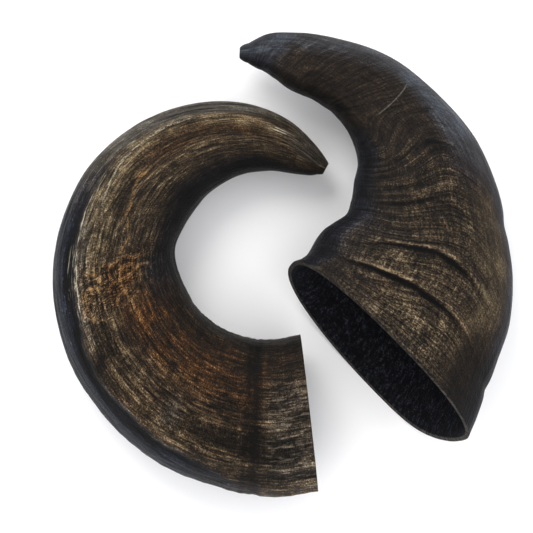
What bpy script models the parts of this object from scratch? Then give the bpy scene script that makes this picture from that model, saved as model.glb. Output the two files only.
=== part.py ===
"""A matched pair of natural shofars: two hollow, curved horns lying side by side on a table.

Each horn is one keratin sheath. It is open at the wide end, where it left the skull, its wall thickens along
the curve, and a narrow wind bore runs on from the end of the cavity to a blow hole in the tip. The two horns
curve opposite ways, as a left and a right horn do.

A horn is described by stations along its length. Each station is one cross-section, given by its point on the
outer (convex) side, its point on the inner (concave) side, its height, how far it is lifted off the table, and
its lean: how far its top is set back along the horn for each unit of height. A smooth curve through the
stations gives every cross-section between them.

Frame: metres, +Z up, the table at Z = 0, and the origin under the middle of the pair.
"""

import math

import bmesh
import bpy
import numpy as np

MM = 0.001

# How finely both horns are divided.
SIDES = 32
BODY_RINGS = 30
CAVITY_RINGS = 16
BORE_RINGS = 4

# The saw cut at the wide end, and how the wall thickens from there to the end of the cavity, in mm.
RIM_WALL = 2.6
WALL_GROWTH = 4.5
# The cavity keeps its width and then closes with a round end. A higher power closes it later.
CAVITY_POWER = 4.0
# The blow hole widens over the last stretch of the wind bore, in mm.
CUP_DEPTH = 5.0
CUP_FLARE = 0.6

# Stations of the left horn, from the wide end to the tip, in mm:
# (outer x, outer y), (inner x, inner y), height, lift, lean
LEFT_STATIONS = [
    ((18.5, -118.0), (9.5, -37.5), 52.0, 0.0, 0.0),
    ((-2.0, -121.0), (-4.0, -40.0), 51.0, 0.0, 0.0),
    ((-40.0, -115.5), (-26.5, -36.0), 52.0, 0.0, 0.0),
    ((-67.5, -103.0), (-38.5, -28.5), 51.5, 0.0, 0.0),
    ((-92.5, -82.0), (-48.5, -17.5), 50.0, 0.0, 0.0),
    ((-110.5, -55.0), (-54.5, -4.5), 48.0, 0.0, 0.0),
    ((-120.5, -17.0), (-56.0, 8.5), 46.0, 0.0, 0.0),
    ((-118.5, 16.0), (-51.0, 22.0), 44.0, 0.0, 0.0),
    ((-105.0, 48.0), (-42.5, 33.5), 41.0, 0.0, 0.0),
    ((-78.0, 73.0), (-31.0, 42.5), 37.0, 0.5, 0.0),
    ((-48.5, 84.5), (-19.5, 47.5), 33.0, 1.5, 0.0),
    ((-19.5, 85.0), (-7.5, 49.0), 28.5, 3.0, 0.0),
    ((4.0, 76.0), (4.0, 48.0), 22.5, 5.5, 0.0),
    ((23.5, 56.5), (18.0, 46.5), 11.5, 11.0, 0.0),
]

# Stations of the right horn, in the same form. Its wide end was cut at a slant, so its first stations lean.
RIGHT_STATIONS = [
    ((94.0, -90.5), (5.0, 0.5), 60.0, 0.0, 0.44),
    ((100.5, -73.5), (12.5, 5.5), 60.0, 0.0, 0.42),
    ((109.0, -52.0), (20.0, 16.5), 61.0, 0.0, 0.36),
    ((116.0, -30.5), (32.5, 25.5), 61.0, 0.0, 0.26),
    ((118.0, -8.5), (35.5, 33.5), 59.0, 0.0, 0.16),
    ((116.0, 12.5), (37.0, 42.5), 56.0, 0.0, 0.08),
    ((112.5, 38.0), (40.0, 53.0), 52.0, 0.0, 0.0),
    ((102.5, 63.5), (37.5, 64.5), 47.0, 0.0, 0.0),
    ((83.5, 88.0), (30.0, 77.0), 42.0, 0.5, 0.0),
    ((59.0, 107.5), (17.5, 87.0), 36.5, 2.5, 0.0),
    ((31.5, 117.5), (4.0, 93.0), 30.0, 6.0, 0.0),
    ((7.5, 121.0), (-9.5, 102.0), 22.0, 10.5, 0.0),
    ((-8.5, 120.4), (-13.5, 103.5), 15.0, 14.0, 0.0),
    ((-17.4, 116.2), (-18.2, 106.4), 10.0, 16.5, 0.0),
]

# The cross-section is a squared ellipse with a blunt crest running along it. Angles go round from the outer
# side over the top. Its waist is where it is widest, as a share of its height, and its belly is how far its
# underside is pushed towards the outer side; both are given for the wide end and for the tip. The nose is the
# rounding of the tip, and its flat share is what stays flat round the blow hole.
LEFT_HORN = {
    "name": "left_horn",
    "stations": LEFT_STATIONS,
    "turn": -1,
    "squareness": 2.35,
    "crest": (66.0, 30.0, 0.07),
    "waist": (0.48, 0.5),
    "belly": (0.0, 0.0),
    "cavity_end": 0.66,
    "bore_radius": 2.0,
    "nose_length": 2.4,
    "nose_flat": 0.62,
    "colour": (0.060, 0.040, 0.024),
}
RIGHT_HORN = {
    "name": "right_horn",
    "stations": RIGHT_STATIONS,
    "turn": 1,
    "squareness": 2.3,
    "crest": (62.0, 42.0, 0.03),
    "waist": (0.62, 0.5),
    "belly": (0.30, 0.0),
    "cavity_end": 0.62,
    "bore_radius": 1.5,
    "nose_length": 4.6,
    "nose_flat": 0.56,
    "colour": (0.034, 0.027, 0.021),
}
ROUGHNESS = 0.42


def clear_scene():
    for obj in list(bpy.data.objects):
        bpy.data.objects.remove(obj, do_unlink=True)


def smooth_curve(knots, values, at):
    """The values at a place along the knots, on a cubic curve that passes through each of them."""
    slopes = np.gradient(values, knots, axis=0)
    i = int(np.clip(np.searchsorted(knots, at, side="right") - 1, 0, len(knots) - 2))
    span = knots[i + 1] - knots[i]
    t = (at - knots[i]) / span
    start = (2 * t**3 - 3 * t**2 + 1) * values[i] + (t**3 - 2 * t**2 + t) * span * slopes[i]
    end = (3 * t**2 - 2 * t**3) * values[i + 1] + (t**3 - t**2) * span * slopes[i + 1]
    return start + end


class Horn:
    """One horn's shape, in mm. A place u runs from 0 at the wide end to 1 at the tip."""

    def __init__(self, plan):
        self.plan = plan
        self.stations = np.array([[*outer, *inner, *rest] for outer, inner, *rest in plan["stations"]])
        centres = (self.stations[:, 0:2] + self.stations[:, 2:4]) / 2
        along = np.concatenate([[0], np.cumsum(np.linalg.norm(np.diff(centres, axis=0), axis=1))])
        self.length = along[-1]
        self.knots = along / self.length

    def cross_section(self, u):
        """Centre at the waist, direction across (to the outer side), onward, up, and half width and height."""
        row = smooth_curve(self.knots, self.stations, u)
        outer, inner = row[0:2], row[2:4]
        height, lift, lean = row[4:7]
        width = np.linalg.norm(outer - inner)
        across = np.append((outer - inner) / width, 0.0)
        onward = self.plan["turn"] * np.array([-across[1], across[0], 0.0])
        centre = np.append((outer + inner) / 2, lift + height * self.waist(u))
        return centre, across, onward, np.array([0, 0, 1.0]) + lean * onward, width / 2, height / 2

    def waist(self, u):
        return float(np.interp(u, (0, 1), self.plan["waist"]))

    def belly(self, u):
        return float(np.interp(u, (0, 1), self.plan["belly"]))

    def outline(self, u, angle):
        """Where the unit cross-section is at an angle, in radians: how far across, and how far up."""
        power = self.plan["squareness"]
        reach = (abs(math.cos(angle)) ** power + abs(math.sin(angle)) ** power) ** (-1 / power)
        middle, spread, height = self.plan["crest"]
        away = (math.degrees(angle) - middle + 180) % 360 - 180
        reach *= 1 + height * math.exp(-((away / spread) ** 2))
        sideways, upward = reach * math.cos(angle), reach * math.sin(angle)
        if upward > 0:
            return sideways, upward * 2 * (1 - self.waist(u))
        return sideways + self.belly(u) * (1 - sideways**2) * abs(upward), upward * 2 * self.waist(u)

    def ring(self, u, half_width=None, half_height=None, onward_by=0.0, share=1.0):
        """The points of one ring. Without a size of its own, it has the horn's outer size times share."""
        centre, across, onward, up, own_width, own_height = self.cross_section(u)
        half_width = own_width * share if half_width is None else half_width
        half_height = own_height * share if half_height is None else half_height
        points = []
        for side in range(SIDES):
            sideways, upward = self.outline(u, 2 * math.pi * side / SIDES)
            points.append(centre + onward * onward_by + across * half_width * sideways + up * half_height * upward)
        return points

    def body(self):
        """The outer surface, from the wide end to the tip."""
        return [self.ring(u) for u in np.linspace(0, 1, BODY_RINGS + 1)]

    def nose(self):
        """The rounded tip, which ends in the flat face round the blow hole."""
        flat = self.plan["nose_flat"]
        rings = []
        for degrees in (30, 60, 90):
            turn = math.radians(degrees)
            share = flat + (1 - flat) * math.cos(turn)
            rings.append(self.ring(1, onward_by=self.plan["nose_length"] * math.sin(turn), share=share))
        return rings

    def bore(self):
        """The wind bore, from the blow hole to the end of the cavity."""
        radius = self.plan["bore_radius"]
        wide = radius + CUP_FLARE
        rings = [self.ring(1, wide, wide, onward_by=self.plan["nose_length"])]
        cup_start = 1 - CUP_DEPTH / self.length
        for u in np.linspace(cup_start, self.plan["cavity_end"], BORE_RINGS + 1):
            rings.append(self.ring(u, radius, radius))
        return rings

    def cavity(self):
        """The hollow, from its round end to the wide end."""
        end, radius = self.plan["cavity_end"], self.plan["bore_radius"]
        rings = []
        for step in range(1, CAVITY_RINGS + 1):
            u = end * math.cos(math.pi / 2 * step / CAVITY_RINGS)
            _, _, _, _, half_width, half_height = self.cross_section(u)
            wall = RIM_WALL + WALL_GROWTH * u / end
            open_share = (1 - (u / end) ** CAVITY_POWER) ** 0.5
            inside_width = max((half_width - wall) * open_share, radius)
            inside_height = max((half_height - wall) * open_share, radius)
            rings.append(self.ring(u, inside_width, inside_height))
        return rings

    def rings(self):
        return np.array(self.body() + self.nose() + self.bore() + self.cavity())


def horn_mesh(name, rings):
    """Joins each ring to the next, and the last back to the first, which closes the wall at the wide end."""
    shape = bmesh.new()
    loops = [[shape.verts.new(point * MM) for point in ring] for ring in rings]
    for here, there in zip(loops, loops[1:] + loops[:1]):
        for side in range(SIDES):
            after = (side + 1) % SIDES
            shape.faces.new((here[side], here[after], there[after], there[side]))
    bmesh.ops.recalc_face_normals(shape, faces=shape.faces)
    mesh = bpy.data.meshes.new(name)
    shape.to_mesh(mesh)
    shape.free()
    mesh.shade_smooth()
    mesh.set_sharp_from_angle(angle=math.radians(40))
    return mesh


def horn_material(name, colour):
    material = bpy.data.materials.new(name)
    material.use_nodes = True
    shader = material.node_tree.nodes["Principled BSDF"]
    shader.inputs["Base Color"].default_value = (*colour, 1.0)
    shader.inputs["Roughness"].default_value = ROUGHNESS
    shader.inputs["Metallic"].default_value = 0.0
    return material


def add_horn(plan, rings):
    mesh = horn_mesh(plan["name"], rings)
    mesh.materials.append(horn_material(plan["name"] + "_keratin", plan["colour"]))
    obj = bpy.data.objects.new(plan["name"], mesh)
    bpy.context.scene.collection.objects.link(obj)


def main():
    clear_scene()
    plans = (LEFT_HORN, RIGHT_HORN)
    shapes = [Horn(plan).rings() for plan in plans]
    everything = np.concatenate([rings.reshape(-1, 3) for rings in shapes])
    low, high = everything.min(axis=0), everything.max(axis=0)
    origin = np.array([(low[0] + high[0]) / 2, (low[1] + high[1]) / 2, low[2]])
    for plan, rings in zip(plans, shapes):
        add_horn(plan, rings - origin)


main()
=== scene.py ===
"""Looks for the pair of horn shofars: each horn's fine surface, its procedural keratin, and a pale studio.

A place on a horn is given by u, from 0 at the saw cut to 1 at the tip, and by an angle in degrees that goes
round from the outer (convex) side: 0 outer side, 90 top, 180 inner side, -90 underside. Sizes are in mm until
the meshes are made.
"""

import math

import bpy
import numpy as np
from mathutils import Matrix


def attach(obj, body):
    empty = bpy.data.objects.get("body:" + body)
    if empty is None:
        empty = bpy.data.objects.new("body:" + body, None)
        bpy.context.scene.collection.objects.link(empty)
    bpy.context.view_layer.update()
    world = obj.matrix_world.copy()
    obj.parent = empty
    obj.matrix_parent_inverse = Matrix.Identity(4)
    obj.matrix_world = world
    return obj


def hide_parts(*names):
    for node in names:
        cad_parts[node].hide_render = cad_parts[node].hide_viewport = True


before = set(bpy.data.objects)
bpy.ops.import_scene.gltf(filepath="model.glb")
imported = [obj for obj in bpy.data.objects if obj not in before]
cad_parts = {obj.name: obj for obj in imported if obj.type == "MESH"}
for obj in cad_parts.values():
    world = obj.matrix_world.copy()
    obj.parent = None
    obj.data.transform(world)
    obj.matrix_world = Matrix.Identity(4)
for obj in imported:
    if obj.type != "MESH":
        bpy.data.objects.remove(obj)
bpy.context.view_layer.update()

MM = 0.001

# Rings along each fine surface, and points round it. More of the points go to the side that faces up.
ROUND = 208
TOP_SHARE = 0.62
BODY_RINGS = 396
NOSE_RINGS = 12
BORE_RINGS = 8
CAVITY_RINGS = 54
RIM_RINGS = 4
PAIR_RINGS = 61
NEARBY = 5

# The sheath's wall, wind bore and blow hole, as in the CAD model.
RIM_WALL = 2.6
WALL_GROWTH = 4.5
CAVITY_POWER = 4.0
CUP_DEPTH = 5.0
CUP_FLARE = 0.6

# Stations from the wide end to the tip: (outer x, outer y), (inner x, inner y), height, lift, lean.
# They are as in the CAD model, but for the last of each horn. That one, and the shape of the nose beyond it,
# are set a little differently so that the outline of the tip is closer to the photograph's.
LEFT_STATIONS = [
    ((18.5, -118.0), (9.5, -37.5), 52.0, 0.0, 0.0),
    ((-2.0, -121.0), (-4.0, -40.0), 51.0, 0.0, 0.0),
    ((-40.0, -115.5), (-26.5, -36.0), 52.0, 0.0, 0.0),
    ((-67.5, -103.0), (-38.5, -28.5), 51.5, 0.0, 0.0),
    ((-92.5, -82.0), (-48.5, -17.5), 50.0, 0.0, 0.0),
    ((-110.5, -55.0), (-54.5, -4.5), 48.0, 0.0, 0.0),
    ((-120.5, -17.0), (-56.0, 8.5), 46.0, 0.0, 0.0),
    ((-118.5, 16.0), (-51.0, 22.0), 44.0, 0.0, 0.0),
    ((-105.0, 48.0), (-42.5, 33.5), 41.0, 0.0, 0.0),
    ((-78.0, 73.0), (-31.0, 42.5), 37.0, 0.5, 0.0),
    ((-48.5, 84.5), (-19.5, 47.5), 33.0, 1.5, 0.0),
    ((-19.5, 85.0), (-7.5, 49.0), 28.5, 3.0, 0.0),
    ((4.0, 76.0), (4.0, 48.0), 22.5, 5.5, 0.0),
    ((23.8, 56.7), (18.2, 46.6), 11.5, 11.0, 0.0),
]
RIGHT_STATIONS = [
    ((94.0, -90.5), (5.0, 0.5), 60.0, 0.0, 0.44),
    ((100.5, -73.5), (12.5, 5.5), 60.0, 0.0, 0.42),
    ((109.0, -52.0), (20.0, 16.5), 61.0, 0.0, 0.36),
    ((116.0, -30.5), (32.5, 25.5), 61.0, 0.0, 0.26),
    ((118.0, -8.5), (35.5, 33.5), 59.0, 0.0, 0.16),
    ((116.0, 12.5), (37.0, 42.5), 56.0, 0.0, 0.08),
    ((112.5, 38.0), (40.0, 53.0), 52.0, 0.0, 0.0),
    ((102.5, 63.5), (37.5, 64.5), 47.0, 0.0, 0.0),
    ((83.5, 88.0), (30.0, 77.0), 42.0, 0.5, 0.0),
    ((59.0, 107.5), (17.5, 87.0), 36.5, 2.5, 0.0),
    ((31.5, 117.5), (4.0, 93.0), 30.0, 6.0, 0.0),
    ((7.5, 121.0), (-9.5, 102.0), 22.0, 10.5, 0.0),
    ((-8.5, 120.4), (-13.5, 103.5), 15.0, 14.0, 0.0),
    ((-17.7, 116.7), (-18.1, 105.8), 10.6, 16.2, 0.0),
]

# turn says which way a horn runs on from the line across it. crest is an angle, its spread, and its height
# as a share. The waist is where the section is widest, as a share of its height, and the belly is how far its
# underside is pushed towards the outer side; both are given for the saw cut and for the tip.
LEFT_HORN = {
    "name": "left_horn",
    "stations": LEFT_STATIONS,
    "turn": -1,
    "squareness": 2.35,
    "crest": (66.0, 30.0, 0.07),
    "waist": (0.48, 0.5),
    "belly": (0.0, 0.0),
    "cavity_end": 0.66,
    "bore_radius": 2.0,
    "nose_length": 2.4,
    "nose_flat": 0.54,
    "rounded_from": 6.0,
}
RIGHT_HORN = {
    "name": "right_horn",
    "stations": RIGHT_STATIONS,
    "turn": 1,
    "squareness": 2.3,
    "crest": (62.0, 42.0, 0.03),
    "waist": (0.62, 0.5),
    "belly": (0.30, 0.0),
    "cavity_end": 0.62,
    "bore_radius": 1.5,
    "nose_length": 4.6,
    "nose_flat": 0.50,
    "rounded_from": 2.5,
}

# The camera looks straight down. The view is this wide at the height of the horns' widest part.
VIEW_WIDTH = 279.8
VIEW_HEIGHT_ABOVE_TABLE = 25.0
VIEW_CENTRE = (-6.95, -1.31)
LENS = 100.0
SENSOR = 36.0
SKY_LOW = 3.0
SKY_OVERHEAD = 0.75
SKY_COLOUR = (0.98, 0.98, 1.0, 1)

# How far the table reaches from the middle in metres. A lamp has a place and a size in metres, power and tint.
TABLE_REACH = 6.0
TABLE_GREY = 0.9
LAMPS = {
    "key": ((-0.35, 0.75, 0.9), 0.6, 6.0, (1.0, 0.98, 0.95)),
    "fill": ((0.9, 0.3, 0.8), 0.8, 2.0, (0.93, 0.96, 1.0)),
}

# The horn's texture places: the outside, the inside and the rim are three strips, from one height to another.
STRIP_HEIGHTS = ((0.005, 0.70), (0.715, 0.94), (0.955, 0.995))
STRIP_MARGIN = 0.005
STRIP_LENGTH = 1 - 2 * STRIP_MARGIN


# ---------------------------------------------------------------- noise and falloffs

# The offset given to a noise only keeps it from following the others.
LATTICE_SIDE = 32
LATTICE = np.random.default_rng(11).uniform(-1, 1, (LATTICE_SIDE, LATTICE_SIDE, LATTICE_SIDE))
OCTAVE_OFFSET = 7.3


def noise(points, offset):
    """Smooth noise from -1 to 1 with features one unit across, at points given as an array of x, y, z."""
    p = np.asarray(points) + offset
    cell = np.floor(p).astype(int)
    f = p - cell
    f = f * f * (3 - 2 * f)
    total = np.zeros(p.shape[:-1])
    for dx in (0, 1):
        for dy in (0, 1):
            for dz in (0, 1):
                weight = (f[..., 0] if dx else 1 - f[..., 0]) * (f[..., 1] if dy else 1 - f[..., 1])
                weight = weight * (f[..., 2] if dz else 1 - f[..., 2])
                x, y, z = np.moveaxis((cell + (dx, dy, dz)) % LATTICE_SIDE, -1, 0)
                total += weight * LATTICE[x, y, z]
    return total


def layered(points, octaves, offset):
    """Noise with finer and weaker noise added to it, each octave half as large as the one before."""
    return sum(noise(points * 2.0**k, offset + OCTAVE_OFFSET * k) / 2.0**k for k in range(octaves))


def ramp(low, high, x):
    """0 below low, 1 above high, smooth between; low may be above high."""
    t = np.clip((x - low) / (high - low), 0, 1)
    return t * t * (3 - 2 * t)


def band(x, start, end, soft):
    """1 between start and end, fading over soft on each side."""
    return ramp(start - soft, start + soft, x) * ramp(end + soft, end - soft, x)


def bell(x, centre, width):
    return np.exp(-(((x - centre) / width) ** 2))


def strongest(degrees, u, patches):
    """The strongest at each place of patches given as share, (from, to, softness) round, and that along."""
    shares = [share * band(degrees, *over) * band(u, *along) for share, over, along in patches]
    return np.maximum.reduce(shares)


def angle_from(degrees, middle):
    return (degrees - middle + 180) % 360 - 180


def path_degrees(skin, path):
    """The angle at which a line along the horn, through (u, degrees) points, passes each place."""
    u, degrees = zip(*path)
    return np.interp(skin.u, u, degrees)


# ---------------------------------------------------------------- the horns' shape


def smooth_curve(knots, values, at):
    """The values at places along the knots, on a cubic curve that passes through each of them."""
    slopes = np.gradient(values, knots, axis=0)
    i = np.clip(np.searchsorted(knots, at, side="right") - 1, 0, len(knots) - 2)
    span = (knots[i + 1] - knots[i])[:, None]
    t = (at[:, None] - knots[i][:, None]) / span
    start = (2 * t**3 - 3 * t**2 + 1) * values[i] + (t**3 - 2 * t**2 + t) * span * slopes[i]
    end = (3 * t**2 - 2 * t**3) * values[i + 1] + (t**3 - t**2) * span * slopes[i + 1]
    return start + end


def angles_round():
    """The angles of the points round a ring, in radians: denser over the top than on the underside."""
    top = round(ROUND * TOP_SHARE)
    over = np.linspace(0, math.pi, top, endpoint=False)
    under = np.linspace(math.pi, 2 * math.pi, ROUND - top, endpoint=False)
    return np.concatenate([over, under])


class Horn:
    def __init__(self, plan):
        self.plan = plan
        self.stations = np.array([[*outer, *inner, *rest] for outer, inner, *rest in plan["stations"]])
        centres = (self.stations[:, 0:2] + self.stations[:, 2:4]) / 2
        along = np.concatenate([[0], np.cumsum(np.linalg.norm(np.diff(centres, axis=0), axis=1))])
        self.length = along[-1]
        self.knots = along / self.length
        self.angles = angles_round()

    def rings(self, u, half_width=None, half_height=None, onward_by=0.0, share=1.0):
        """Points of the rings at the places u, as an array of rings by angles by 3."""
        u = np.asarray(u, float)
        row = smooth_curve(self.knots, self.stations, u)
        outer, inner = row[:, 0:2], row[:, 2:4]
        height, lift, lean = row[:, 4], row[:, 5], row[:, 6]
        width = np.linalg.norm(outer - inner, axis=1)
        across = np.zeros((len(u), 3))
        across[:, :2] = (outer - inner) / width[:, None]
        onward = self.plan["turn"] * np.stack([-across[:, 1], across[:, 0], 0 * width], axis=1)
        waist = np.interp(u, (0, 1), self.plan["waist"])
        belly = np.interp(u, (0, 1), self.plan["belly"])
        centre = np.concatenate([(outer + inner) / 2, (lift + height * waist)[:, None]], axis=1)
        up = np.array([0, 0, 1.0]) + lean[:, None] * onward
        half_width = width / 2 * share if half_width is None else half_width
        half_height = height / 2 * share if half_height is None else half_height
        sideways, upward = self.outline(waist, belly)
        onward_by = np.broadcast_to(onward_by, u.shape)
        points = (centre + onward * onward_by[:, None])[:, None, :]
        points = points + across[:, None, :] * (half_width[:, None] * sideways)[:, :, None]
        return points + up[:, None, :] * (half_height[:, None] * upward)[:, :, None]

    def outline(self, waist, belly):
        power = self.plan["squareness"]
        cos, sin = np.cos(self.angles), np.sin(self.angles)
        reach = (np.abs(cos) ** power + np.abs(sin) ** power) ** (-1 / power)
        middle, spread, height = self.plan["crest"]
        reach = reach * (1 + height * bell(angle_from(np.degrees(self.angles), middle), 0, spread))
        sideways, upward = reach * cos, reach * sin
        above = upward > 0
        moved = sideways + np.where(above, 0, belly[:, None] * (1 - sideways**2) * np.abs(upward))
        return moved, np.where(above, upward * 2 * (1 - waist[:, None]), upward * 2 * waist[:, None])

    def half_sizes(self, u):
        row = smooth_curve(self.knots, self.stations, np.asarray(u, float))
        return np.linalg.norm(row[:, 0:2] - row[:, 2:4], axis=1) / 2, row[:, 4] / 2


class Skin:
    """Where each point of a grid of rings is on its horn, for relief and colour to be worked out from."""

    def __init__(self, horn, u):
        self.horn = horn
        half_width, half_height = horn.half_sizes(np.clip(u, 0, 1))
        girth = (half_width + half_height) / 2
        self.u = np.repeat(np.asarray(u, float)[:, None], ROUND, axis=1)
        degrees = np.degrees(horn.angles)
        degrees = np.where(degrees > 270, degrees - 360, degrees)
        self.degrees = np.repeat(degrees[None, :], len(u), axis=0)
        self.along = self.u * horn.length
        self.radius = np.repeat(girth[:, None], ROUND, axis=1)
        # Grain space: x and y go round a cylinder of the horn's mean radius, and z runs along it, in mm.
        mean = float(girth.mean())
        turn = np.radians(self.degrees)
        self.grain = np.stack([mean * np.cos(turn), mean * np.sin(turn), self.along], axis=-1)

    def stretched(self, round_by, along_by, offset, octaves):
        """Noise with features round_by mm round the horn and along_by mm along it."""
        return layered(self.grain / np.array([round_by, round_by, along_by]), octaves, offset)

    def warped(self, bend, scale, round_by, along_by, offset):
        """Ribs across the horn that wander: noise read at places bent by more noise."""
        moved = self.grain + bend * noise(self.grain / scale, offset)[..., None]
        return layered(moved / np.array([round_by, round_by, along_by]), 2, offset + 1.0)

    def ringed(self, place, apart, round_by, offset):
        """Uneven rings across the horn: noise that changes quickly with place and slowly round."""
        x, y = self.grain[..., 0] / round_by, self.grain[..., 1] / round_by
        return layered(np.stack([x, y, place / apart], axis=-1), 2, offset)

    def distance(self, path):
        """Distance in mm from a line drawn on the horn through (u, degrees) points."""
        nearest = np.full(self.u.shape, 1e9)
        for (u0, d0), (u1, d1) in zip(path, path[1:]):
            ax = (self.u - u0) * self.horn.length
            ay = np.radians(self.degrees - d0) * self.radius
            bx = (u1 - u0) * self.horn.length
            by = np.radians(d1 - d0) * self.radius
            t = np.clip((ax * bx + ay * by) / (bx**2 + by**2), 0, 1)
            nearest = np.minimum(nearest, np.hypot(ax - t * bx, ay - t * by))
        return nearest

    def line(self, path, width):
        return bell(self.distance(path), 0, width)


# ---------------------------------------------------------------- the left horn's surface

# The crest over the outer side, the edge of the outer band, and thin marks, as (u, degrees).
LEFT_CREST = [
    *((0.0, 66), (0.40, 66), (0.55, 75), (0.62, 70), (0.70, 62)),
    *((0.78, 60), (0.85, 65), (0.92, 74), (1.0, 82)),
]
LEFT_BAND_EDGE = [(0.0, 34), (0.10, 42), (0.20, 50), (0.45, 57), (0.62, 58), (0.78, 40), (1.0, 30)]
LEFT_RUST_LINE = [
    *((0.40, 104), (0.46, 99), (0.50, 101), (0.54, 100)),
    *((0.57, 96), (0.60, 94), (0.63, 88), (0.67, 84)),
]
LEFT_HOOK = [
    *((0.425, 71), (0.438, 66), (0.46, 67), (0.466, 74)),
    *((0.462, 80), (0.472, 82), (0.486, 78), (0.492, 72)),
]
LEFT_RIBS = [
    [(0.425, 92), (0.437, 97), (0.432, 106)],
    [(0.450, 84), (0.462, 94), (0.458, 104), (0.470, 116)],
    [(0.470, 92), (0.484, 100), (0.478, 112), (0.468, 124)],
    [(0.490, 90), (0.502, 100), (0.494, 114)],
]
LEFT_STREAKS = [
    [(0.43, 58), (0.47, 57), (0.53, 56)],
    [(0.45, 62), (0.50, 61), (0.56, 60), (0.61, 57)],
    [(0.47, 52), (0.50, 51), (0.54, 53)],
    [(0.62, 60), (0.66, 57), (0.71, 53)],
]
# Two growth grooves go round the horn, this many mm from the saw cut.
LEFT_GROOVES = (28, 33)
# The rough patch: (from, to, softness) along and round.
LEFT_PATCH_U = (0.42, 0.50, 0.03)
LEFT_PATCH_DEGREES = (68, 120, 14)
# Patches of colour: how strong, then (from, to, softness) in degrees and in u.
LEFT_COLOURS = {
    # Blue-black on the inner side: the horn's dark tone with a painted bluish reflection.
    "blue": [(0.5, (128, 170, 10), (0.38, 0.97, 0.05))],
    "warm": [
        (0.95, (84, 140, 14), (0.07, 0.42, 0.05)),
        (0.5, (66, 96, 8), (0.68, 0.9, 0.05)),
        (0.35, (40, 140, 15), (0.0, 0.40, 0.03)),
    ],
    "tan": [
        (0.55, (60, 88, 8), (0.27, 0.66, 0.07)),
        (0.35, (50, 100, 12), (0.03, 0.28, 0.04)),
    ],
    "grey": [
        (0.75, (0, 56, 8), (0.60, 0.93, 0.06)),
        (0.5, (52, 68, 5), (0.40, 0.60, 0.05)),
    ],
}


def left_band_edge(skin):
    """The angle where the blue-black outer band ends, wavering like a torn sheet."""
    return path_degrees(skin, LEFT_BAND_EDGE) + 3.5 * skin.stretched(400, 12, 5.0, 3)


def left_patch(skin):
    """The rough, cross-ribbed patch beside the flakes, with a ragged edge."""
    u = skin.u + 0.012 * skin.stretched(10, 10, 17.0, 2)
    degrees = skin.degrees + 11 * skin.stretched(12, 12, 18.0, 2)
    return band(u, *LEFT_PATCH_U) * band(degrees, *LEFT_PATCH_DEGREES)


def left_relief(skin):
    u, degrees = skin.u, skin.degrees
    relief = 0.7 * skin.stretched(34, 34, 1.0, 2)
    relief += 0.20 * skin.stretched(3.4, 30, 2.0, 3)
    relief += 0.30 * skin.stretched(2.6, 30, 3.0, 2) * band(degrees, 25, 112, 14) * ramp(0.45, 0.05, u)
    # The crest sharpens towards the tip, with a hollow beside it.
    crest = degrees - path_degrees(skin, LEFT_CREST)
    relief += 1.2 * bell(crest, 0, 8) * band(u, 0.54, 0.93, 0.07)
    relief -= 0.8 * bell(crest, -20, 11) * band(u, 0.50, 0.9, 0.1)
    relief -= 0.4 * bell(crest, 18, 8) * band(u, 0.58, 0.9, 0.06)
    # The outer band lies lower than the body, and its sheets end in steps.
    edge = left_band_edge(skin)
    relief -= 0.9 * ramp(edge + 3, edge - 3, degrees) * band(u, 0.20, 0.62, 0.08) * ramp(-40, 0, degrees)
    sheets = skin.stretched(6, 60, 4.0, 3) * 2.4
    steps = np.floor(sheets) + ramp(0.3, 0.7, sheets % 1.0)
    relief += 0.26 * steps * band(degrees, 10, 100, 14)
    # Growth shows across the horn near the mouth.
    first_groove, second_groove = LEFT_GROOVES
    relief -= 0.5 * bell(skin.along + 1.5 * skin.stretched(14, 400, 6.0, 2), first_groove, 1.8)
    relief -= 0.3 * bell(skin.along + 1.5 * skin.stretched(12, 400, 8.0, 2), second_groove, 1.3)
    relief += 0.8 * bell(skin.along, 14, 12) * band(degrees, -60, 40, 25)
    relief -= 0.9 * bell(skin.along, 47, 9) * band(degrees, -50, 30, 20)
    relief += 0.22 * skin.stretched(40, 3.0, 7.0, 3) * ramp(0.5, 0.3, u)
    # Flakes stand on the surface, and the patch beside them is ribbed across.
    relief += 0.35 * skin.line(LEFT_RUST_LINE, 1.6) + 0.7 * skin.line(LEFT_HOOK, 1.5)
    relief += 0.55 * sum(skin.line(path, 1.3) for path in LEFT_RIBS)
    warped = skin.warped(5.0, 17.0, 14, 2.6, 19.0)
    return relief + 0.4 * warped * left_patch(skin)


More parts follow.
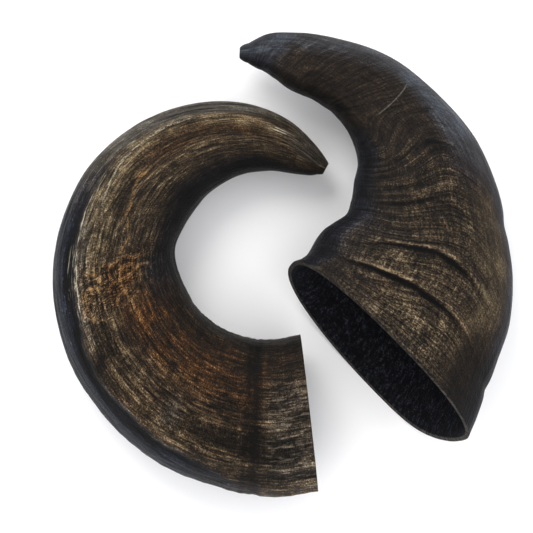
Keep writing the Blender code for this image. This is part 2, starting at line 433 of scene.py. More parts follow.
def left_zones(skin):
    u, degrees = skin.u, skin.degrees
    edge = left_band_edge(skin)
    d = degrees + 9 * skin.stretched(26, 40, 12.0, 3)
    crest = degrees - path_degrees(skin, LEFT_CREST)
    outer = ramp(edge + 4, edge - 4, degrees) * ramp(-70, -20, degrees)
    blue, warm, tan, grey = (strongest(d, u, LEFT_COLOURS[zone]) for zone in ("blue", "warm", "tan", "grey"))
    # The outer band is blue-black: partly its own darker tone, partly a painted bluish reflection of the sky on
    # its steep side.
    blue = np.maximum(blue, outer * band(u, 0.12, 0.62, 0.07))
    warm = np.maximum(warm, 0.9 * left_patch(skin))
    # The crest is painted tan, a painted highlight along its ridge. The outer band's edge and the top of the tip
    # are lighter, and paler keratin shows in one worn spot and at the saw cut.
    tan = np.maximum(tan, 0.9 * bell(crest, 2, 9) * band(u, 0.50, 0.90, 0.05))
    tan = np.maximum(tan, 0.45 * bell(u, 0.23, 0.018) * bell(degrees, 77, 12))
    grey = np.maximum(grey, 0.7 * bell(degrees - edge, 0, 2.2) * band(u, 0.18, 0.60, 0.05))
    grey = np.maximum(grey, 0.34 * band(u, 0.0, 0.07, 0.02) * band(degrees, 40, 118, 12))
    grey = np.maximum(grey, 0.6 * bell(u, 0.235, 0.016) * bell(degrees, 76, 10))
    grey = np.maximum(grey, 0.6 * ramp(0.92, 0.96, u) * band(degrees, 20, 100, 20))
    pale = 0.8 * sum(skin.line(path, 0.6) for path in LEFT_STREAKS)
    pale = pale + 0.9 * bell(u, 0.915, 0.015) * bell(degrees, 72, 6)
    pale = pale + 0.10 * band(u, 0.0, 0.075, 0.015) * band(degrees, 52, 112, 10)
    rust = 0.9 * skin.line(LEFT_HOOK, 1.1) + 1.0 * bell(u, 0.663, 0.008) * bell(degrees, 85, 3.2)
    rust = rust + 0.45 * sum(skin.line(path, 0.9) for path in LEFT_RIBS)
    # Darker in the two growth grooves: partly the rings' own darker band, partly painted shade in the grooves.
    first_groove, second_groove = LEFT_GROOVES
    dark = 0.5 * bell(skin.along, first_groove, 2.6) + 0.3 * bell(skin.along, second_groove, 1.8)
    spots = ramp(0.25, 0.6, skin.stretched(8, 11, 14.0, 1))
    spots = spots * band(degrees, 44, 92, 8) * band(u, 0.0, 0.42, 0.03)
    dark = dark + 0.35 * spots
    # Painted shade: darker on the inner side and the underside, and darker still along the inner edge towards the
    # tip.
    dark = dark + 0.45 * band(d, 128, 240, 14) + 0.25 * band(d, 120, 165, 8) * band(u, 0.5, 0.95, 0.06)
    dark = dark + 0.16 * band(d, 44, 128, 10) * band(u, -0.1, 0.42, 0.05)
    dark = dark + 0.1 * ramp(0.93, 1.0, u) + 0.35 * outer * band(u, 0.15, 0.6, 0.05)
    # Painted shadow along the foot of the step where the outer band drops below the body.
    dark = dark + 0.5 * bell(degrees - edge, -4, 2.0) * band(u, 0.18, 0.55, 0.05)
    calm = np.maximum(0.25 * band(degrees, 128, 240, 12), 0.5 * ramp(0.48, 0.62, u))
    zones = {"blue": blue, "warm": warm, "tan": tan, "grey": grey, "pale": pale, "rust": rust, "dark": dark}
    return zones | {"calm": calm, "swirl": left_patch(skin)}


def left_marks(skin):
    """Signed distances in mm from the two thin lines, and how strong each is."""
    crest = np.radians(skin.degrees - path_degrees(skin, LEFT_CREST)) * skin.radius
    rust = np.radians(skin.degrees - path_degrees(skin, LEFT_RUST_LINE)) * skin.radius
    top = band(skin.degrees, 20, 150, 10)
    return {
        # The light line follows the crest: a thin painted highlight along its ridge.
        "light_line": crest + 1.2 * skin.stretched(40, 9, 51.0, 2),
        "light_share": 0.45 * band(skin.u, 0.60, 0.80, 0.05) * top,
        "rust_line": rust + 1.5 * skin.stretched(40, 6, 52.0, 3),
        "rust_share": 0.8 * band(skin.u, 0.41, 0.66, 0.01) * top,
    }


# ---------------------------------------------------------------- the right horn's surface

# The growth rings bow towards the tip by this many mm, round this angle, and this many degrees to each side.
RIGHT_RING_BOW = 28.0
RIGHT_RING_TOP = 76.0
RIGHT_RING_SPREAD = 42.0
# Each fold runs across the horn through (u, degrees), with its height and its length behind the ledge in mm.
RIGHT_FOLDS = [
    ([(0.085, 30), (0.12, 65), (0.13, 80), (0.125, 100), (0.10, 120), (0.08, 135), (0.07, 170)], 1.5, 11.0),
    ([(0.19, 40), (0.22, 66), (0.235, 84), (0.225, 100), (0.19, 115), (0.15, 127), (0.14, 170)], 1.0, 9.0),
    ([(0.38, 28), (0.445, 60), (0.455, 80), (0.42, 98), (0.385, 114), (0.36, 130), (0.35, 170)], 0.5, 6.0),
    ([(0.30, 40), (0.36, 70), (0.375, 90), (0.345, 108), (0.32, 120), (0.30, 170)], 0.35, 4.0),
    ([(0.47, 30), (0.512, 62), (0.518, 80), (0.503, 100), (0.475, 118), (0.45, 140), (0.44, 170)], 0.4, 5.0),
]
RIGHT_SCRATCH = [(0.670, 58), (0.603, 114)]
# The angle at which the darker inner side starts, at three places along the horn.
RIGHT_INNER_EDGE = ((0.0, 0.2, 0.45), (152, 146, 134))
# Patches of colour, as on the left horn.
RIGHT_COLOURS = {
    "tan": [
        (0.9, (40, 76, 10), (0.15, 0.40, 0.06)),
        (0.50, (58, 104, 10), (0.01, 0.12, 0.02)),
        (0.30, (62, 122, 12), (0.12, 0.46, 0.05)),
    ],
    "warm": [
        (0.75, (40, 120, 14), (0.03, 0.50, 0.05)),
        (0.5, (62, 150, 15), (0.5, 0.92, 0.1)),
    ],
    # Painted sheen: bluish grey along the outer side and towards the tip, a painted reflection of the sky.
    "grey": [
        (0.85, (20, 60, 10), (0.50, 0.72, 0.05)),
        (0.45, (-10, 70, 15), (0.70, 0.92, 0.05)),
    ],
}


def right_ring_place(skin):
    """How far along the rings are counted: they bow towards the tip over the top of the horn."""
    away = angle_from(skin.degrees, RIGHT_RING_TOP)
    bow = RIGHT_RING_BOW * (1 - np.exp(-((away / RIGHT_RING_SPREAD) ** 2)))
    bow = bow * ramp(0.0, 0.08, skin.u) * ramp(0.66, 0.48, skin.u)
    return skin.along + bow + 1.8 * skin.stretched(18, 60, 21.0, 3)


def behind_fold(skin, path):
    """How far in mm a place is behind a fold, on its tip side."""
    u, degrees = (np.array(values, float) for values in zip(*path))
    angles = np.clip(skin.degrees[0], degrees[0], degrees[-1])
    line = smooth_curve(degrees, u[:, None], angles)[:, 0] * skin.horn.length
    return skin.along - line + 1.3 * skin.stretched(9, 60, 61.0, 3)


def fold_share(skin, path):
    """Folds are strongest over the top and die away round the sides."""
    share = 0.06 + 0.94 * band(skin.degrees, 66, 128, 20)
    return share * np.clip(0.85 + 0.6 * skin.stretched(16, 60, 63.0 + path[0][0] * 100, 2), 0.1, 1.5)


def right_relief(skin):
    u, degrees = skin.u, skin.degrees
    relief = 0.8 * skin.stretched(36, 36, 31.0, 2)
    for path, height, length in RIGHT_FOLDS:
        behind = behind_fold(skin, path)
        ledge = np.exp(-np.maximum(behind, 0) / length) * ramp(-1.8, 1.4, behind)
        groove = np.exp(-np.maximum(-behind, 0) / 2.5) * ramp(0.8, -1.4, behind)
        relief += height * fold_share(skin, path) * (ledge - 0.75 * groove)
    # Notches where the folds reach the outer side, and a swelling lip at the inner corner of the mouth.
    relief -= 1.0 * bell(skin.along, 0.085 * skin.horn.length, 3.5) * band(degrees, -40, 40, 20)
    relief -= 0.8 * bell(skin.along, 0.38 * skin.horn.length, 4.0) * band(degrees, -40, 40, 20)
    relief += 0.9 * bell(skin.along, 0, 3.5) * band(degrees, 140, 205, 18)
    place = right_ring_place(skin)
    ringed = band(u, 0.20, 0.54, 0.05) * band(degrees, 66, 150, 18)
    relief += 0.27 * skin.ringed(place, 2.4, 26, 24.0) * ringed
    relief += 0.20 * skin.ringed(place, 1.6, 18, 26.0) * band(degrees, 64, 165, 20)
    relief += 0.20 * skin.stretched(2.8, 22, 25.0, 3) * ramp(0.5, 0.05, u)
    relief += 0.10 * skin.stretched(2.4, 12, 27.0, 2)
    relief += 0.4 * skin.stretched(7, 7, 28.0, 2) * band(u, 0.62, 0.92, 0.05) * band(degrees, 140, 215, 15)
    return relief * (0.4 + 0.6 * ramp(0.0, 0.03, u))


def right_zones(skin):
    u, degrees = skin.u, skin.degrees
    d = degrees + 10 * skin.stretched(26, 40, 32.0, 3)
    # Blue-black on the outer side near the mouth, on the inner side, round the tip and in one small patch: the
    # horn's dark tone with a painted bluish reflection.
    blue = 0.8 * band(d, -60, 38, 14) * ramp(0.54, 0.44, u)
    inner_edge = np.interp(u, *RIGHT_INNER_EDGE)
    blue = np.maximum(blue, 0.85 * ramp(inner_edge - 12, inner_edge + 8, d) * band(u, -0.1, 0.55, 0.05))
    blue = np.maximum(blue, 0.75 * ramp(0.86, 0.95, u) * (1 - 0.7 * band(degrees, 30, 110, 20)))
    blue = np.maximum(blue, 0.45 * band(u, 0.44, 0.50, 0.03) * band(d, 30, 66, 8))
    tan, warm, grey = (strongest(d, u, RIGHT_COLOURS[zone]) for zone in ("tan", "warm", "grey"))
    # The ledge behind the first fold is worn pale, and the top of the tip gets a painted bluish highlight.
    first = behind_fold(skin, RIGHT_FOLDS[0][0])
    tan = np.maximum(tan, 0.75 * band(first, 3, 17, 3) * band(d, 96, 126, 7))
    grey = np.maximum(grey, 0.9 * ramp(0.89, 0.94, u) * band(degrees, 30, 110, 20))
    # Painted shade: darker on the inner side and the underside. The very tip is a little darker too.
    dark = 0.5 * ramp(inner_edge - 10, inner_edge + 14, d) + 0.2 * ramp(0.97, 1.0, u)
    dark = dark + 0.3 * band(u, 0.24, 0.86, 0.08) * band(d, 62, 150, 14)
    # Painted shadow: a dark crease in front of each fold, under its ledge, and a wider one under the first fold.
    for path, height, _ in RIGHT_FOLDS:
        unbroken = np.clip(1 + skin.stretched(6, 60, 65.0, 2), 0.3, 1.5)
        crease = bell(behind_fold(skin, path), -1.2, 1.2) * unbroken
        dark = dark + 0.6 * min(height, 1.2) * crease * fold_share(skin, path)
    dark = dark + 0.5 * bell(u, 0.112, 0.010) * bell(degrees, 105, 8)
    dark = dark + 0.4 * band(d, -10, 60, 10) * ramp(0.17, 0.08, u)
    none = 0.0 * u
    calm = np.maximum(0.5 * ramp(0.46, 0.58, u), 0.9 * band(degrees, -20, 64, 10))
    zones = {"blue": blue, "warm": warm, "tan": tan, "grey": grey, "pale": none, "rust": none, "dark": dark}
    return zones | {"calm": calm, "swirl": none}


def right_marks(skin):
    (u0, d0), (u1, d1) = RIGHT_SCRATCH
    t = (skin.degrees - d0) / (d1 - d0)
    across = (skin.u - u0 - t * (u1 - u0)) * skin.horn.length
    none = 0.0 * skin.u
    return {
        "light_line": 0.8 * across + 0.5 * skin.stretched(12, 40, 53.0, 1),
        "light_share": 0.6 * band(t, 0.02, 0.98, 0.06) * band(skin.u, 0.58, 0.69, 0.01),
        "rust_line": none + 9.0,
        "rust_share": none,
    }


# ---------------------------------------------------------------- meshes


def outward(points):
    """The unit normals of a grid of rings, pointing away from the rings' centres."""
    along = np.gradient(points, axis=0)
    around = np.roll(points, -1, axis=1) - np.roll(points, 1, axis=1)
    normal = np.cross(around, along)
    normal /= np.maximum(np.linalg.norm(normal, axis=2, keepdims=True), 1e-9)
    away = points - points.mean(axis=1, keepdims=True)
    facing = np.sign((normal * away).sum(axis=2).mean())
    return normal * facing


class Sheath:
    """One whole horn as a closed loop of rings: outside, tip, wind bore, hollow and sawn rim."""

    def __init__(self, plan, relief_of, zones_of, marks_of):
        horn = Horn(plan)
        end = plan["cavity_end"]
        skin = Skin(horn, np.linspace(0, 1, BODY_RINGS + 1))
        relief = relief_of(skin) * ramp(1.0, 0.95, skin.u)
        body = horn.rings(skin.u[:, 0], share=self.rounding(plan, (skin.u[:, 0] - 1) * horn.length))
        body = body + outward(body) * relief[:, :, None]
        # The saw cut stays flat: its edge moves only within the cut's own plane.
        cut = horn.rings(np.array([0.0]))[0]
        centre = cut.mean(axis=0)
        reach = np.linalg.norm(cut - centre, axis=1)
        body[0] = centre + (cut - centre) * (1 + relief[0] / reach)[:, None]
        parts = [body, *self.tip(horn, plan), self.cavity(horn, plan)]
        steps = np.linspace(0, 1, RIM_RINGS + 2)[1:-1]
        parts.append(np.array([parts[-1][-1] * (1 - t) + body[0] * t for t in steps]))
        self.rings = np.concatenate(parts)
        sizes = [len(part) for part in parts]
        self.outside = sizes[0] + sizes[1]
        self.rim = sizes[-1]
        self.count = len(self.rings)
        # The inside's own places along the horn, for its grain.
        bore_u = np.linspace(1, end, BORE_RINGS)
        inside_u = np.concatenate([[1.0], bore_u, end * cavity_places(), np.zeros(self.rim)])
        whole = Skin(horn, np.concatenate([skin.u[:, 0], np.ones(sizes[1]), inside_u]))
        self.values = {"grain_" + axis: whole.grain[..., i] for i, axis in enumerate("xyz")}
        self.values["place"] = right_ring_place(whole) if plan is RIGHT_HORN else whole.along
        for name, values in zones_of(skin).items():
            self.values[name] = self.padded(np.clip(values, 0, 1))
        for name, values in marks_of(skin).items():
            self.values[name] = self.padded(values)
        # How far each place stands above its surroundings, a few rings or points away on each side.
        around = sum(np.roll(relief, k, axis=axis) for k in (-NEARBY, NEARBY) for axis in (0, 1)) / 4
        self.values["relief"] = self.padded(relief - around)
        self.values["inside"] = self.flag(self.outside, self.count - self.rim)
        self.values["sawn"] = self.flag(self.count - self.rim, self.count) + self.flag(0, 1)

    def rounding(self, plan, onward_by):
        """How much of its full size a ring keeps, on an ellipse that starts just before the last station."""
        start = plan["rounded_from"]
        depth = (start + plan["nose_length"]) / math.sqrt(1 - plan["nose_flat"] ** 2)
        return np.sqrt(1 - (np.maximum(onward_by + start, 0) / depth) ** 2)

    def tip(self, horn, plan):
        """The rounded nose, the ring round the blow hole and the wind bore."""
        length, radius = plan["nose_length"], plan["bore_radius"]
        onward_by = length * np.sin(np.linspace(0, math.pi / 2, NOSE_RINGS + 1)[1:])
        nose = horn.rings(np.ones(NOSE_RINGS), onward_by=onward_by, share=self.rounding(plan, onward_by))
        cup = np.array([radius + CUP_FLARE])
        blow_hole = horn.rings(np.array([1.0]), cup, cup, onward_by=length)
        narrow = np.full(BORE_RINGS, radius)
        bore_u = np.linspace(1 - CUP_DEPTH / horn.length, plan["cavity_end"], BORE_RINGS)
        return nose, blow_hole, horn.rings(bore_u, narrow, narrow)

    def cavity(self, horn, plan):
        """The hollow, from its far end out to the saw cut, with fibres and growth marks on its wall."""
        end = plan["cavity_end"]
        share_in = cavity_places()
        half_sizes = horn.half_sizes(end * share_in)
        wall = RIM_WALL + WALL_GROWTH * share_in
        share = np.sqrt(1 - share_in**CAVITY_POWER)
        inside = [np.maximum((size - wall) * share, plan["bore_radius"]) for size in half_sizes]
        cavity = horn.rings(end * share_in, *inside)
        skin = Skin(horn, end * share_in)
        furrows = 0.30 * skin.stretched(3.0, 45, 41.0, 2) + 0.25 * skin.stretched(30, 9, 43.0, 2)
        furrows = furrows * ramp(0.0, 0.03, skin.u) * ramp(end, 0.8 * end, skin.u)
        return cavity + outward(cavity) * furrows[:, :, None]

    def padded(self, values):
        """Values for every ring, where the given ones cover the body and the nose takes the last of them."""
        everywhere = np.zeros((self.count, ROUND))
        everywhere[: len(values)] = values
        everywhere[len(values):self.outside] = values[-1]
        return everywhere

    def flag(self, start, end):
        everywhere = np.zeros((self.count, ROUND))
        everywhere[start:end] = 1
        return everywhere


def cavity_places():
    """The hollow's rings as shares of its depth, from just short of its far end to the saw cut."""
    return np.cos(math.pi / 2 * np.arange(1, CAVITY_RINGS + 1) / CAVITY_RINGS)


def grid_faces(count):
    ring = np.arange(count)[:, None]
    side = np.arange(ROUND)[None, :]
    after, onward = (side + 1) % ROUND, (ring + 1) % count
    corners = [ring * ROUND + side, ring * ROUND + after, onward * ROUND + after, onward * ROUND + side]
    return np.stack([np.broadcast_to(c, (count, ROUND)) for c in corners], axis=-1).reshape(-1, 4)


def unwrapped(sheath):
    """Texture places for the grid's faces: the outside, the inside and the rim as three strips."""
    edges = [0, sheath.outside - 1, sheath.count - sheath.rim - 1, sheath.count]
    side = np.arange(ROUND)[None, :]
    pieces = []
    for start, end, (low, high) in zip(edges, edges[1:], STRIP_HEIGHTS):
        ring = np.arange(start, end)[:, None]
        corners = []
        for ring_on, side_on in ((0, 0), (0, 1), (1, 1), (1, 0)):
            across = STRIP_MARGIN + STRIP_LENGTH * (ring + ring_on - start) / (end - start) + 0 * side
            up = low + (high - low) * (side + side_on) / ROUND + 0 * ring
            corners.append(np.stack([across, up], axis=-1))
        pieces.append(np.stack(corners, axis=2).reshape(-1, 4, 2))
    return np.concatenate(pieces)


def add_values(mesh, name, values):
    attribute = mesh.attributes.new(name, "FLOAT", "POINT")
    attribute.data.foreach_set("value", np.ascontiguousarray(values, np.float32).ravel())


def horn_object(name, sheath, shift):
    points = (sheath.rings.reshape(-1, 3) - shift) * MM
    # The table carries the horn, so nothing is lower than it.
    points[:, 2] = np.maximum(points[:, 2], 0)
    faces, places = grid_faces(sheath.count), unwrapped(sheath)
    first, second, third = (points[faces[:, corner]] for corner in range(3))
    volume = np.einsum("ij,ij->i", first, np.cross(second, third)).sum()
    if volume < 0:
        faces, places = faces[:, ::-1], places[:, ::-1]
    mesh = bpy.data.meshes.new(name)
    mesh.from_pydata(points.tolist(), [], faces.tolist())
    layer = mesh.uv_layers.new(name="OFBake")
    layer.data.foreach_set("uv", np.ascontiguousarray(places, np.float32).ravel())
    for value_name, values in sheath.values.items():
        add_values(mesh, value_name, values)
    mesh.shade_smooth()
    obj = bpy.data.objects.new(name, mesh)
    bpy.context.scene.collection.objects.link(obj)
    return obj


# ---------------------------------------------------------------- materials


class Graph:
    """Short helpers for building one material's nodes."""

    def __init__(self, name):
        self.material = bpy.data.materials.new(name)
        self.material.use_nodes = True
        self.tree = self.material.node_tree
        self.shader = self.tree.nodes["Principled BSDF"]

    def node(self, kind, inputs=None, **settings):
        node = self.tree.nodes.new(kind)
        for key, value in settings.items():
            setattr(node, key, value)
        for key, value in (inputs or {}).items():
            self.plug(value, node.inputs[key])
        return node

    def plug(self, value, socket):
        if isinstance(value, bpy.types.NodeSocket):
            self.tree.links.new(value, socket)
        else:
            socket.default_value = value

    def value(self, name):
        return self.node("ShaderNodeAttribute", attribute_name=name).outputs["Fac"]

    def vector(self, x, y, z):
        return self.node("ShaderNodeCombineXYZ", {0: x, 1: y, 2: z}).outputs[0]

    def math(self, operation, a, b=0.0):
        return self.node("ShaderNodeMath", {0: a, 1: b}, operation=operation).outputs[0]

    def product(self, *values):
        total = values[0]
        for value in values[1:]:
            total = self.math("MULTIPLY", total, value)
        return total

    def sum(self, *weighted):
        """The sum of values given as (weight, value) pairs."""
        total = 0.0
        for weight, value in weighted:
            total = self.math("ADD", total, self.math("MULTIPLY", value, weight))
        return total

    def mix(self, factor, a, b):
        node = self.node("ShaderNodeMix", data_type="RGBA", clamp_factor=True)
        self.plug(factor, node.inputs[0])
        self.plug(a, node.inputs[6])
        self.plug(b, node.inputs[7])
        return node.outputs[2]

    def fade(self, value, low, high, to_low=0.0, to_high=1.0, kind="SMOOTHSTEP"):
        inputs = {"Value": value, "From Min": low, "From Max": high, "To Min": to_low, "To Max": to_high}
        return self.node("ShaderNodeMapRange", inputs, interpolation_type=kind).outputs[0]

    def ramp(self, value, stops):
        """Colours along a value from 0 to 1, evenly spaced."""
        node = self.node("ShaderNodeValToRGB", {0: value})
        elements = node.color_ramp.elements
        while len(elements) < len(stops):
            elements.new(0.5)
        for i, stop in enumerate(stops):
            elements[i].position = i / (len(stops) - 1)
            elements[i].color = stop
        return node.outputs[0]

    def noise(self, vector, scale, detail, roughness, distortion):
        inputs = {"Vector": vector, "Scale": scale, "Detail": detail}
        inputs |= {"Roughness": roughness, "Distortion": distortion}
        return self.node("ShaderNodeTexNoise", inputs).outputs["Fac"]

    def stretch(self, vector, by):
        return self.node("ShaderNodeVectorMath", {0: vector, 1: by}, operation="MULTIPLY").outputs[0]


def colour(red, green, blue):
    """A colour given as 0 to 255 on screen, as the shader needs it."""
    def linear(c):
        c /= 255
        return c / 12.92 if c <= 0.04045 else ((c + 0.055) / 1.055) ** 2.4
    return (linear(red), linear(green), linear(blue), 1.0)


# The textures of the horn's grain: how it is stretched round and along, then the noise's features per mm, its
# detail, its roughness and its distortion.
TEXTURES = {
    "fibres": ((1, 1, 0.22), 1.25, 3, 0.6, 0.3),
    "streaks": ((1, 1, 0.07), 0.45, 3, 0.6, 0.4),
    "hairs": ((1, 1, 0.06), 1.4, 3, 0.6, 0.0),
    "blotches": ((1, 1, 1), 0.10, 4, 0.6, 0.5),
    "swirls": ((0.5, 0.5, 1), 0.24, 2, 0.5, 1.5),
    "grit": ((1, 1, 1), 1.8, 2, 0.8, 0.0),
    "saw marks": ((1, 1, 1), 1.0, 3, 0.7, 0.0),
}
RING_TEXTURE = ((0.05, 0.05, 1), 0.95, 3, 0.65, 0.2)
# The zones are laid over the brown in this order, and noise between these two levels breaks up their edges.
ZONE_EDGES = (("warm", 0.40, 0.56), ("tan", 0.42, 0.58), ("grey", 0.42, 0.58), ("blue", 0.30, 0.50))
RUST_LINE_WIDTH = 0.7
BUMP = {"Distance": 0.0012, "Strength": 0.6}


def keratin(name, palette):
    """The horn's material: one texture value, looked up in each zone's colours, with marks laid over it."""
    g = Graph(name)
    x, y, z = g.value("grain_x"), g.value("grain_y"), g.value("grain_z")
    grain = g.vector(x, y, z)
    fibres, streaks, hairs, blotches, swirls, grit, saw_marks = (
        g.noise(g.stretch(grain, by), *settings) for by, *settings in TEXTURES.values()
    )
    ring_by, *ring_settings = RING_TEXTURE
    rings = g.noise(g.stretch(g.vector(x, y, g.value("place")), ring_by), *ring_settings)
    # Ridges follow the level lines of the swirls.
    ridges = g.fade(g.math("PINGPONG", g.math("MULTIPLY", swirls, 6.0), 0.5), 0.0, 0.25, 1.0, 0.0)
    fine = g.sum((0.5, fibres), (0.5, grit))

    # One texture value picks the shade within each zone's own run of colours.
    weights = palette["weights"]
    texture = g.sum(*zip(weights, (fibres, streaks, hairs, rings, blotches, grit)))
    middle = sum(weights) / 2
    busy = g.math("SUBTRACT", 1.0, g.product(g.value("calm"), palette["calm"]))
    texture = g.math("ADD", middle, g.product(busy, g.math("SUBTRACT", texture, middle)))
    swirl = g.product(g.value("swirl"), g.math("SUBTRACT", ridges, 0.4), 0.10)
    # Raised places are painted lighter and sunken ones darker: painted highlight and shade that follow the
    # relief.
    raised = (palette["relief"], g.value("relief"))
    texture = g.sum((1.0, texture), (1.0, swirl), raised, (-0.10, g.value("dark")))
    spread = palette["spread"]
    texture = g.fade(texture, middle - spread, middle + spread * 1.15, kind="LINEAR")
    ragged = g.sum((0.5, blotches), (0.5, streaks))
    tone = g.ramp(texture, palette["brown"])
    for zone, low, high in ZONE_EDGES:
        share = g.product(g.value(zone), g.fade(ragged, low, high, 0.45, 1.0))
        tone = g.mix(share, tone, g.ramp(texture, palette[zone]))
    pale = g.product(g.value("pale"), g.fade(g.sum((0.6, hairs), (0.4, fibres)), 0.50, 0.60))
    tone = g.mix(pale, tone, palette["pale"])
    rust = g.product(g.value("rust"), g.fade(fine, 0.46, 0.60))
    tone = g.mix(rust, tone, palette["rust"])
    # The light line is a painted highlight along the left horn's crest and a real scratch on the right horn. The
    # rust line is the edge of a real flake.
    for mark, width, shade in (("light", palette["light_width"], "pale"), ("rust", RUST_LINE_WIDTH, "rust")):
        distance = g.math("ABSOLUTE", g.value(mark + "_line"))
        line = g.product(g.value(mark + "_share"), g.fade(distance, width, width * 0.4))
        line = g.product(line, g.fade(fine, 0.44, 0.58, palette["unbroken"], 1.0))
        tone = g.mix(line, tone, palette[shade])
    # The dark zone holds the horn's own dark tone and painted shade in creases, grooves, the inner side and the
    # underside.
    tone = g.mix(g.fade(g.value("dark"), 0.0, 1.0, 0.0, 0.6), tone, palette["dark"])
    # The hollow is painted near black, painted shade inside the horn, and bluish on the right horn as a painted
    # reflection.
    hollow = g.ramp(g.fade(fine, 0.36, 0.66), palette["hollow"])
    tone = g.mix(g.value("inside"), tone, hollow)
    cut = g.ramp(g.fade(g.sum((0.6, saw_marks), (0.4, grit)), 0.38, 0.62), palette["cut"])
    tone = g.mix(g.fade(g.value("sawn"), 0.4, 1.0), tone, cut)
    g.plug(tone, g.shader.inputs["Base Color"])

    roughness = g.fade(fine, 0.38, 0.62, palette["smooth"], palette["rough"])
    roughness = g.sum((1.0, roughness), (-0.08, g.value("blue")), (0.2, g.value("inside")))
    g.plug(roughness, g.shader.inputs["Roughness"])
    g.shader.inputs["Specular IOR Level"].default_value = palette["shine"]

    height = g.sum((0.50, fibres), (0.30, hairs), (0.35, rings), (0.40, grit), (1.2, swirl))
    bump = g.node("ShaderNodeBump", {"Height": height} | BUMP)
    g.plug(bump.outputs[0], g.shader.inputs["Normal"])
    return g.material


def colours(*shades):
    return [colour(*shade) for shade in shades]


# A palette's runs of colours go from dark to light. Its weights are for the fibres, streaks, hairs, rings,
# blotches and grit, in that order. A smaller spread gives more contrast. light_width is in mm. relief is how much
# raised places are painted lighter and sunken ones darker, a painted highlight and shade.
LEFT_PALETTE = {
    "brown": colours((7, 6, 5), (18, 15, 11), (39, 31, 23), (80, 67, 49), (152, 134, 106)),
    "warm": colours((8, 6, 4), (25, 15, 7), (48, 29, 13), (88, 57, 28), (144, 106, 62)),
    "tan": colours((12, 10, 7), (33, 27, 19), (68, 58, 42), (120, 104, 78), (188, 172, 140)),
    "grey": colours((13, 13, 12), (36, 34, 31), (66, 63, 57), (110, 106, 98), (190, 184, 172)),
    # Bluish blacks: the horn's own dark tone with a painted bluish reflection.
    "blue": colours((6, 7, 9), (13, 15, 20), (26, 29, 38), (56, 61, 73), (128, 132, 138)),
    "pale": colour(176, 168, 148),
    "rust": colour(126, 95, 58),
    "dark": colour(8, 7, 6),
    # Near black inside the hollow: painted shade.
    "hollow": colours((4, 4, 5), (9, 9, 10), (22, 21, 22), (54, 50, 47)),
    "cut": colours((12, 11, 10), (30, 26, 23), (64, 56, 47)),
    "weights": (0.21, 0.13, 0.27, 0.06, 0.11, 0.34),
    "calm": 0.35,
    "spread": 0.105,
    "relief": 0.06,
    "light_width": 0.65,
    "unbroken": 0.0,
    "smooth": 0.38,
    "rough": 0.58,
    "shine": 0.06,
}
RIGHT_PALETTE = {
    "brown": colours((7, 6, 6), (17, 15, 13), (32, 27, 23), (58, 49, 39), (108, 94, 74)),
    "warm": colours((7, 6, 5), (19, 15, 11), (39, 30, 22), (72, 58, 43), (126, 106, 80)),
    "tan": colours((9, 7, 5), (27, 22, 16), (58, 49, 36), (104, 91, 69), (172, 156, 128)),
    # Bluish greys: a painted sheen.
    "grey": colours((19, 20, 22), (38, 41, 46), (60, 65, 72), (88, 94, 104), (128, 134, 142)),
    # Bluish blacks: the horn's own dark tone with a painted bluish reflection.
    "blue": colours((6, 7, 9), (14, 15, 20), (26, 28, 36), (46, 51, 62), (92, 98, 110)),
    "pale": colour(104, 99, 92),
    "rust": colour(100, 74, 44),
    "dark": colour(7, 7, 7),
    # Bluish near black inside the hollow: painted shade with a painted bluish reflection.
    "hollow": colours((4, 4, 6), (8, 9, 12), (18, 19, 24), (46, 48, 53)),
    "cut": colours((11, 10, 10), (29, 26, 24), (62, 56, 50)),
    "weights": (0.18, 0.06, 0.10, 0.28, 0.17, 0.46),
    "calm": 0.5,
    "spread": 0.11,
    "relief": 0.08,
    "light_width": 0.36,
    "unbroken": 0.45,
    "smooth": 0.40,
    "rough": 0.60,
    "shine": 0.06,
}


def floor_material():
    g = Graph("table")
    g.shader.inputs["Base Color"].default_value = (TABLE_GREY, TABLE_GREY, TABLE_GREY, 1)
    g.shader.inputs["Roughness"].default_value = 0.9
    g.shader.inputs["Specular IOR Level"].default_value = 0.1
    return g.material


# ---------------------------------------------------------------- studio


def add_floor():
    mesh = bpy.data.meshes.new("table_top")
    corners = [(x * TABLE_REACH, y * TABLE_REACH, 0) for x, y in ((-1, -1), (1, -1), (1, 1), (-1, 1))]
    mesh.from_pydata(corners, [], [(0, 1, 2, 3)])
    mesh.materials.append(floor_material())
    obj = bpy.data.objects.new("table_top", mesh)
    bpy.context.scene.collection.objects.link(obj)


def add_lamp(name, place, size, power, tint):
    """A soft round lamp that faces the middle of the table."""
    light = bpy.data.lights.new(name, "AREA")
    light.shape = "DISK"
    light.size = size
    light.energy = power
    light.color = tint
    obj = bpy.data.objects.new(name, light)
    obj.location = place
    direction = -np.array(place)
    from_up = math.acos(-direction[2] / np.linalg.norm(direction))
    obj.rotation_euler = (from_up, 0, math.atan2(direction[1], direction[0]) - math.pi / 2)
    bpy.context.scene.collection.objects.link(obj)


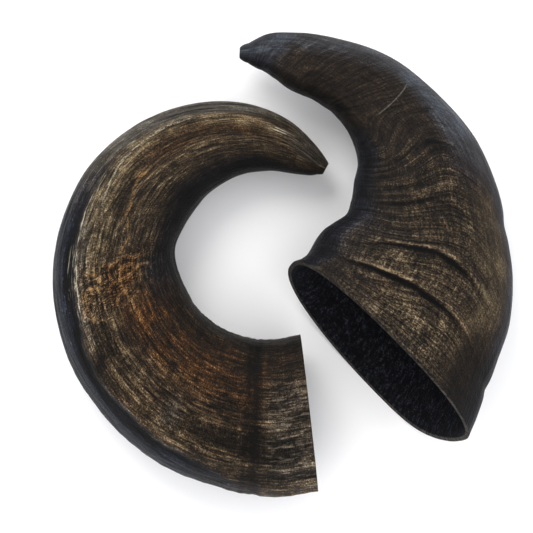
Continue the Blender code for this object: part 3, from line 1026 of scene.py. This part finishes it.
def add_studio():
    """A sky bright low down and dim overhead, as in a light tent, with a soft key and a weaker fill."""
    scene = bpy.context.scene
    world = bpy.data.worlds.new("studio")
    world.use_nodes = True
    nodes, links = world.node_tree.nodes, world.node_tree.links
    place = nodes.new("ShaderNodeTexCoord")
    split = nodes.new("ShaderNodeSeparateXYZ")
    level = nodes.new("ShaderNodeMapRange")
    level.inputs["To Min"].default_value = SKY_LOW
    level.inputs["To Max"].default_value = SKY_OVERHEAD
    links.new(place.outputs["Generated"], split.inputs[0])
    links.new(split.outputs["Z"], level.inputs["Value"])
    background = nodes["Background"]
    background.inputs["Color"].default_value = SKY_COLOUR
    links.new(level.outputs[0], background.inputs["Strength"])
    scene.world = world
    for name, (lamp_place, size, power, tint) in LAMPS.items():
        add_lamp(name, lamp_place, size, power, tint)
    scene.view_settings.view_transform = "Standard"


def add_camera():
    distance = LENS / SENSOR * VIEW_WIDTH
    camera = bpy.data.cameras.new("camera")
    camera.lens = LENS
    camera.sensor_width = SENSOR
    camera.clip_start = 0.01
    obj = bpy.data.objects.new("camera", camera)
    obj.location = (VIEW_CENTRE[0] * MM, VIEW_CENTRE[1] * MM, (distance + VIEW_HEIGHT_ABOVE_TABLE) * MM)
    bpy.context.scene.collection.objects.link(obj)
    bpy.context.scene.camera = obj


# ---------------------------------------------------------------- the pair


def pair_shift():
    """The CAD model's origin, on the table under the middle of the pair, to within about 0.1 mm."""
    places = np.linspace(0, 1, PAIR_RINGS)
    everything = np.concatenate([Horn(plan).rings(places).reshape(-1, 3) for plan in (LEFT_HORN, RIGHT_HORN)])
    low, high = everything.min(axis=0), everything.max(axis=0)
    return np.array([(low[0] + high[0]) / 2, (low[1] + high[1]) / 2, low[2]])


def main():
    shift = pair_shift()
    looks = [
        (LEFT_HORN, left_relief, left_zones, left_marks, LEFT_PALETTE),
        (RIGHT_HORN, right_relief, right_zones, right_marks, RIGHT_PALETTE),
    ]
    for plan, relief_of, zones_of, marks_of, palette in looks:
        node = plan["name"]
        obj = horn_object(node + "_sheath", Sheath(plan, relief_of, zones_of, marks_of), shift)
        obj.data.materials.append(keratin(node + "_keratin", palette))
        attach(obj, node)
        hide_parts(node)
    add_floor()
    add_studio()
    add_camera()


main()
